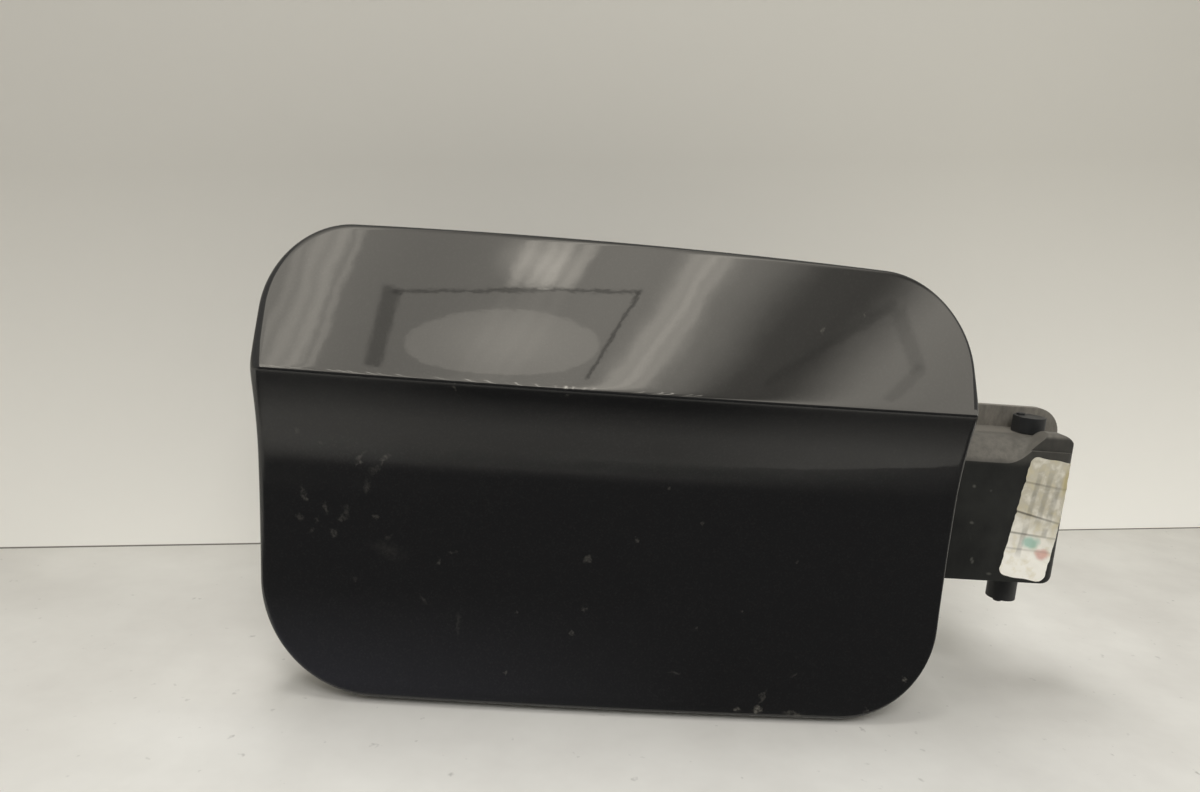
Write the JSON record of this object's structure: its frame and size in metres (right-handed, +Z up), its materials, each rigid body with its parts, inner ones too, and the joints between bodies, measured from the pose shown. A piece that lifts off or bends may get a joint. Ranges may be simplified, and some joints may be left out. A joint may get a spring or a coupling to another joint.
{
  "type": "car fuel door",
  "caption": "Car fuel filler door: creased painted panel on a ribbed inner carrier, whose gooseneck arm swings on an upright hinge pin.",
  "frame": {"origin": "hinge axis at the underside of the hinge pin's head", "axes": "+X from the free end of the door towards the hinge, -Y out of the car, +Z up along the hinge axis"},
  "size_m": [0.2746, 0.0913, 0.1462],
  "materials": {
    "body_paint": "black metallic paint under clear coat",
    "filled_plastic": "moulded, satin",
    "pin_plastic": "moulded, satin",
    "striker_plastic": "moulded, satin",
    "screw_steel": "zinc plated",
    "buffer_rubber": "matt",
    "label_paper": "creased paper"
  },
  "bodies": {
    "pin": {"hinge_pin": "pin_plastic"},
    "door": {"outer_panel": "body_paint", "inner_carrier": "filled_plastic", "latch_striker": "striker_plastic", "carrier_screws": "screw_steel", "upper_buffer": "buffer_rubber", "lower_buffer": "buffer_rubber", "blank_label": "label_paper"}
  },
  "joints": [
    {"name": "door_swing", "type": "hinge", "parent": "pin", "child": "door", "pos_m": [0, 0, 0], "axis": [0, 0, 1], "range_deg": [0, 90]}
  ]
}
